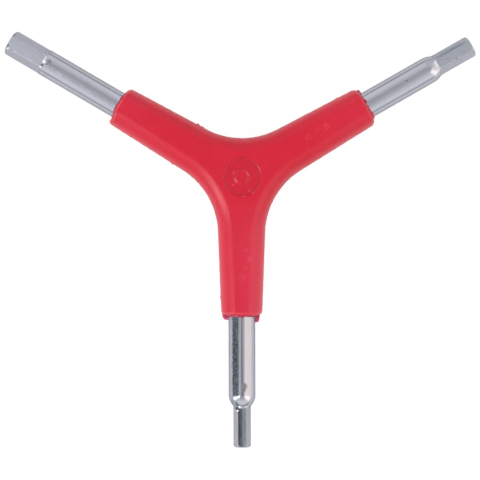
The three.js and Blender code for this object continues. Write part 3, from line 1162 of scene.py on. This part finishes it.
@dataclass(frozen=True)
class PlatedSteel:
    """Polished plated steel of one bar: fine lengthwise lines, cloudiness and single marks.

    Some marks are painted highlights, and the worn side's mottled tarnishing also paints a dark
    reflection.
    """

    arm: Arm
    axis_height: float
    colour: Colour = (0.533, 0.550, 0.616)
    edge_colour: Colour = (0.55, 0.55, 0.57)
    dull_colour: Colour = (0.466, 0.477, 0.527)
    hex_tone: Colour = (0.44, 0.457, 0.517)
    # mottled tarnishing, and a painted dark reflection on the worn side
    tarnish_and_reflection_colour: Colour = (0.14, 0.15, 0.18)
    lines: Grain = Grain(1, 3, 0.6)
    line_stretch: Triple = (0.03, 1 / 0.35, 1 / 0.35)
    fine: Grain = Grain(1, 2, 0.6)
    fine_stretch: Triple = (0.25, 9, 9)
    cloud: Grain = Grain(0.5, 5, 0.65, (0.35, 0.75))
    hex_grain: Grain = Grain(1 / 0.45, 3, 0.7, (0.3, 0.7))
    mottle: Grain = Grain(1 / 0.55, 3, 0.6)
    mark_grain: Grain = Grain(2.2, 3, 0.7)
    cloud_share: float = 0.35
    hex_share: float = 0.05  # how much of the hexagon's tone shows even without its grain
    hex_rise: Pair = (-0.4, 0.6)
    cloud_roughness: float = 0.06
    fine_roughness: float = 0.04
    line_height: float = 0.0012
    fine_height: float = 0.000144
    worn_and_reflection_rise: Pair = (-2.9, -2.6)  # the shank's mottled side, across the arm, with a painted dark reflection
    worn_and_reflection_fall: Pair = (-1.1, -0.8)
    tarnish_and_reflection_kept: Pair = (0.42, 0.6)
    tarnish_and_reflection_share: float = 0.75
    most_mottle: float = 0.014
    mark_ragged: float = 0.9
    mark_edge: Pair = (0.55, 1.05)

    def spot(self, tree: Tree, place: Wire, mark: Mark) -> Wire:
        """Where one mark shows: an oval with a ragged edge on the bar's upper side.

        Args:
            tree: The material's tree.
            place: Coordinates in the arm's frame.
            mark: The mark.

        Returns:
            1 on the mark and 0 off it.
        """
        s, v, z = tree.parts(place)
        along = (s - mark.s) / (mark.length / 2)
        across = (v - mark.v) / (mark.width / 2)
        ragged = (tree.noise(place, self.mark_grain) - 0.5) * self.mark_ragged
        edge = (along * along + across * across).root() + ragged
        return (1 - edge.smooth(*self.mark_edge)) * z.smooth(0, 1)

    def material(self) -> bpy.types.Material:
        """The steel: cloudy plating, a duller hexagon, the marks and painted highlights, and a worn
        side whose mottled tarnishing also paints a dark reflection.

        Returns:
            The material.
        """
        arm = self.arm
        material = bpy.data.materials.new(f"plated_steel_{arm.node}")
        tree = Tree(material)
        place = tree.placed(arm.angle, self.axis_height)
        s, v, _ = tree.parts(place)
        lines = tree.noise(tree.mapped(place, {"Scale": self.line_stretch}), self.lines)
        fine = tree.noise(tree.mapped(place, {"Scale": self.fine_stretch}), self.fine)
        cloudy = tree.noise(place, self.cloud)
        mottle = tree.noise(place, self.mottle)
        hex_part = s.smooth(*(arm.reach - arm.hex_length + np.array(self.hex_rise)))
        hex_mix = hex_part * (self.hex_share + tree.noise(place, self.hex_grain))
        colour = tree.mix(cloudy * self.cloud_share, self.colour, self.dull_colour)
        colour = tree.mix(hex_mix, colour, self.hex_tone)
        rough = arm.shank_roughness + hex_part * (arm.hex_roughness - arm.shank_roughness)
        rough = rough + cloudy * self.cloud_roughness + fine * self.fine_roughness
        for mark in arm.marks:
            mark_colour, strength, roughening = mark.kind.value
            spot = self.spot(tree, place, mark)
            colour = tree.mix(spot * strength, colour, mark_colour)
            rough = rough + spot * roughening
        worn_side_and_reflection = v.between(self.worn_and_reflection_rise, self.worn_and_reflection_fall) * (1 - hex_part)
        # mottled tarnishing, and painted dark reflection that carries the shank's dark band further out
        tarnish_and_reflection = mottle.smooth(*self.tarnish_and_reflection_kept) * worn_side_and_reflection * (arm.mottle / self.most_mottle)
        colour = tree.mix(tarnish_and_reflection * self.tarnish_and_reflection_share, colour, self.tarnish_and_reflection_colour)
        height = lines * self.line_height + fine * self.fine_height
        tree.principled(height + mottle * worn_side_and_reflection * arm.mottle, {
            "Base Color": colour, "Metallic": 1.0, "Roughness": rough,
            "Specular Tint": self.edge_colour,
        })
        return material


@dataclass(frozen=True)
class Light:
    """A part of the sky round one azimuth, in degrees, between two heights.

    Where it is a strip, it also has straight sides along its azimuth. The two distances from
    its middle line are where it is full and where it ends.
    """

    colour: Colour
    azimuth: float
    full: float
    end: float
    fall: Pair
    rise: Pair = BELOW_ALL
    strip: Pair | None = None
    aside: float = 0  # how far the strip's middle line is shifted to its side
    share: float = 1


@dataclass(frozen=True)
class Spot:
    """A round dark part of the sky near its top, full within one distance and gone at another."""

    colour: Colour
    place: Pair
    full: float
    end: float


@dataclass(frozen=True)
class Studio:
    """Floor, soft light all round and the camera straight above."""

    height: float  # the height at which the picture has its scale
    floor_size: float = 4000
    floor_drop: float = 0.05
    floor_colour: Colour = (0.77, 0.77, 0.77)
    far_colour: Colour = (0.34, 0.34, 0.34)
    far_above: Pair = (47, 110)  # where the floor darkens, beyond the top of the picture
    far_below: Pair = (80, 120)
    floor_glow: float = 1.04
    glow_share: float = 0.92
    reflected_share: float = 0.05
    image_width: float = 126.23
    camera_distance: float = 600
    camera_x: float = -0.42
    camera_y: float = -16.53
    camera_turn: float = -0.003
    sensor_width: float = 36
    nearest_seen: float = 10
    light_level: float = 0.89
    least_level: float = 1e-4
    sky_stops: tuple[Pair, ...] = (
        (0.0, 0.42), (0.06, 0.50), (0.17, 0.90), (0.33, 1.14), (0.52, 1.14), (0.66, 1.10),
        (0.76, 0.98), (0.84, 0.82), (0.91, 0.71), (0.96, 0.72), (1.0, 0.73),
    )
    lights: tuple[Light, ...] = (
        Light((1.48, 1.29, 1.19), -8, 26, 46, fall=(0.86, 0.975), rise=(-0.14, 0.04)),
        Light((2.6, 2.45, 2.4), -25, 5, 21, fall=(0.86, 0.92), rise=(0.05, 0.4), share=0.6),
        Light((2.1, 2.1, 2.1), 32, 16, 26, fall=(0.42, 0.52), rise=(-0.04, 0.06)),
        Light((2.1, 2.1, 2.1), 148, 16, 26, fall=(0.42, 0.52), rise=(-0.04, 0.06)),
        Light((1.75, 1.75, 1.85), 204, 6, 23, fall=(0.8, 0.9), rise=(0.0, 0.1)),
        Light((12.0, 12.0, 12.5), 205, 45, 60, fall=(0.88, 0.94), rise=(0.1, 0.3),
              strip=(0.035, 0.1)),
        Light((0.245, 0.283, 0.305), 180, 40, 60, fall=(0.875, 0.915), strip=(0.055, 0.085),
              aside=0.06),
        Light((0.83, 0.83, 0.84), 90, 12, 28, fall=(0.93, 0.97)),
    )
    spots: tuple[Spot, ...] = (
        Spot((0.63, 0.63, 0.65), (0.0, 0.26), 0.1, 0.25),
        Spot((0.10, 0.11, 0.13), (0.0, -0.075), 0.068, 0.08),
    )
    spot_rise: Pair = (0.0, 0.5)

    def floor(self) -> bpy.types.Object:
        """A pale floor that looks white, with a faint shadow of the wrench.

        It glows for the rays by which it is seen, and a little less for reflections, as the
        wrench keeps light off the floor beside it. Beyond the picture it is darker, above and
        below, for what the sides of the handle and the bars reflect.

        Returns:
            The floor.
        """
        half = self.floor_size / 2
        x, y = np.meshgrid([-half, 0, half], [-half, 0, half])
        sheet = Sheet(np.stack([x, y, np.full_like(x, -self.floor_drop)], axis=-1))
        floor = Shell("floor", [sheet]).piece()
        material = bpy.data.materials.new("pale_floor")
        tree = Tree(material)
        y = tree.parts(tree.placed())[1]
        far = y.smooth(*self.far_above).at_least((0 - y).smooth(*self.far_below))
        tone = tree.mix(far, self.floor_colour, self.far_colour)
        matt = tree.add("ShaderNodeBsdfDiffuse", {}, {"Color": tone})
        white = {"Color": (1.0, 1.0, 1.0), "Strength": self.floor_glow}
        glow = tree.add("ShaderNodeEmission", {}, white)
        path = tree.add("ShaderNodeLightPath").socket.node
        straight, glossy, through = (
            Wire(tree, path.outputs[name])
            for name in ("Is Camera Ray", "Is Glossy Ray", "Is Transmission Ray")
        )
        seen = straight.at_least(through) * self.glow_share
        share = seen.at_least(glossy * self.reflected_share)
        both = tree.add("ShaderNodeMixShader", {}, {0: share, 1: matt, 2: glow})
        tree.add("ShaderNodeOutputMaterial", {}, {"Surface": both})
        floor.data.materials.append(material)
        return floor

    def sky(self) -> None:
        """Soft light from all round, by direction.

        Brightness rises from a dim horizon to a bright ring and falls to a dimmer top. Over it
        lie, in order: the warm right with its window, two side lights, the glow round a narrow
        bright strip and the strip itself, the narrow shade on the left, the dim far side, and
        near the top a grey spot and the lens.
        """
        world = bpy.data.worlds.new("studio")
        bpy.context.scene.world = world
        tree = Tree(world)
        x, y, z = tree.parts(tree.add("ShaderNodeTexCoord"))
        colour = tree.add("ShaderNodeValToRGB", {"stops": self.sky_stops}, {"Fac": z})
        level = (1 - z * z).at_least(self.least_level).root()
        for light in self.lights:
            turn = radians(light.azimuth)
            along = (x * cos(turn) + y * sin(turn)) / level
            mask = along.smooth(cos(radians(light.end)), cos(radians(light.full)))
            mask = mask * z.between(light.rise, light.fall) * light.share
            if light.strip:
                aside = (x * sin(turn) - y * cos(turn) + light.aside).size()
                mask = mask * (1 - aside.smooth(*light.strip))
            colour = tree.mix(mask, colour, light.colour)
        for spot in self.spots:
            off_x, off_y = x - spot.place[0], y - spot.place[1]
            off = (off_x * off_x + off_y * off_y).root()
            mask = (1 - off.smooth(spot.full, spot.end)) * z.smooth(*self.spot_rise)
            colour = tree.mix(mask, colour, spot.colour)
        inputs = {"Color": colour, "Strength": self.light_level}
        tree.add("ShaderNodeOutputWorld", {}, {
            "Surface": tree.add("ShaderNodeBackground", {}, inputs)})

    def camera(self) -> None:
        """The camera, looking straight down."""
        data = bpy.data.cameras.new("camera")
        data.sensor_width = self.sensor_width
        data.lens = self.sensor_width * self.camera_distance / self.image_width
        data.clip_start = self.nearest_seen * MM
        camera = bpy.data.objects.new("camera", data)
        place = np.array([self.camera_x, self.camera_y, self.height + self.camera_distance]) * MM
        camera.location = place.tolist()
        camera.rotation_euler = (0, 0, self.camera_turn)
        bpy.context.scene.collection.objects.link(camera)
        bpy.context.scene.camera = camera

    def build(self) -> None:
        """Sets up the floor, the light and the camera."""
        self.floor()
        self.sky()
        self.camera()
        bpy.context.scene.view_settings.view_transform = "Standard"


ARMS = (
    Arm(
        node="hex_bar_5mm", mount="hex_5_tip", sleeve_length=38, across_flats=5,
        hex_length=10.7, shoulder_radius=5.8, runout_radius=1.2, runout_end=9.9,
        tip_radius=0.84, turn=radians(-6), shank_roughness=0.10, hex_roughness=0.34,
        mottle=0.001,
        mouth=Mouth(
            seed=21, setback=0.33, corner_radius=1.3, lip_height=0.5, raggedness=0.7,
            lip_shade=0.95, rim=0.1, lip_thin=0.35, film=1, tilt=-0.012, bow=-0.003,
            fins=(Fin(3.4, 4.8, 38.3, -0.15),),
        ),
        marks=(
            Mark(MarkKind.STREAK, 64.2, 1.62, 11.5, 0.9),
            Mark(MarkKind.STREAK, 50.0, 0.4, 0.8, 0.5),
            Mark(MarkKind.STREAK, 64.3, -1.1, 0.45, 0.9),
        ),
    ),
    Arm(
        node="hex_bar_6mm", mount="hex_6_tip", sleeve_length=38, across_flats=6,
        hex_length=10.4, shoulder_radius=4.1, runout_radius=0.8, runout_end=10.1,
        tip_radius=1.05, turn=0, shank_roughness=0.10, hex_roughness=0.40, mottle=0.001,
        mouth=Mouth(
            seed=33, setback=0.55, corner_radius=1.05, lip_height=0.32, raggedness=0.3,
            lip_shade=1, rim=0.25, film=0.3, tilt=0.05, bow=-0.004,
            low_place=3.4, low_width=1.3, low_depth=0.6,
        ),
        marks=(
            Mark(MarkKind.STAIN, 58.5, -0.7, 1.2, 1.0),
            Mark(MarkKind.STAIN, 58.7, 0.3, 1.2, 0.9),
            Mark(MarkKind.STAIN, 57.8, 0.2, 0.9, 0.8),
            Mark(MarkKind.NICK, 59.75, 1.1, 0.9, 1.2),
            # painted highlight on the shoulder
            Mark(MarkKind.GLINT, 59.7, 0.0, 1.4, 1.1),
            Mark(MarkKind.STAIN, 70.1, -1.9, 0.5, 1.3),
            Mark(MarkKind.NICK, 70.1, 1.3, 0.5, 1.1),
            # painted highlight on the tip's chamfer
            Mark(MarkKind.GLINT, 69.8, 1.9, 0.6, 0.6),
        ),
    ),
    Arm(
        node="hex_bar_4mm", mount="hex_4_tip", sleeve_length=36.6, across_flats=4,
        hex_length=10.9, shoulder_radius=4.1, runout_radius=1.0, runout_end=10.2,
        tip_radius=0.72, turn=radians(-2), shank_roughness=0.05, hex_roughness=0.06,
        mottle=0.014,
        mouth=Mouth(
            seed=45, setback=0.3, corner_radius=1.3, lip_height=0.4, raggedness=0.6,
            lip_shade=0.6, rim=0.12, lip_thin=0.7,
            fins=(Fin(-5.1, -3.4, 37.5, 0.25), Fin(3.4, 4.6, 38.2, -0.25)),
        ),
        marks=(
            Mark(MarkKind.STREAK, 65.4, 0.7, 11.0, 0.32),
            Mark(MarkKind.STAIN, 54.9, 0.6, 2.4, 1.9),
            Mark(MarkKind.STAIN, 56.0, 0.5, 1.4, 1.0),
            Mark(MarkKind.STAIN, 57.1, 0.3, 1.6, 0.5),
            # painted highlights below the shoulder
            Mark(MarkKind.GLINT, 60.3, -0.5, 0.8, 0.7),
            Mark(MarkKind.GLINT, 61.3, -1.2, 0.5, 1.1),
            Mark(MarkKind.NICK, 60.65, -1.35, 1.0, 1.1),
        ),
    ),
)


def main() -> None:
    """Builds the bars, the handle and the studio."""
    logging.basicConfig(level=logging.INFO, format="%(name)s: %(message)s")
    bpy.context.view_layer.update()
    bars = [HexBar(arm) for arm in ARMS]
    for bar in bars:
        piece = bar.build()
        log.info("%s: arm at %.1f degrees", piece.name, degrees(bar.arm.angle))
    handle = GripHandle(bars).build()
    log.info("%s is built", handle.name)
    Studio(bars[0].axis_height).build()


if __name__ == "__main__":
    main()
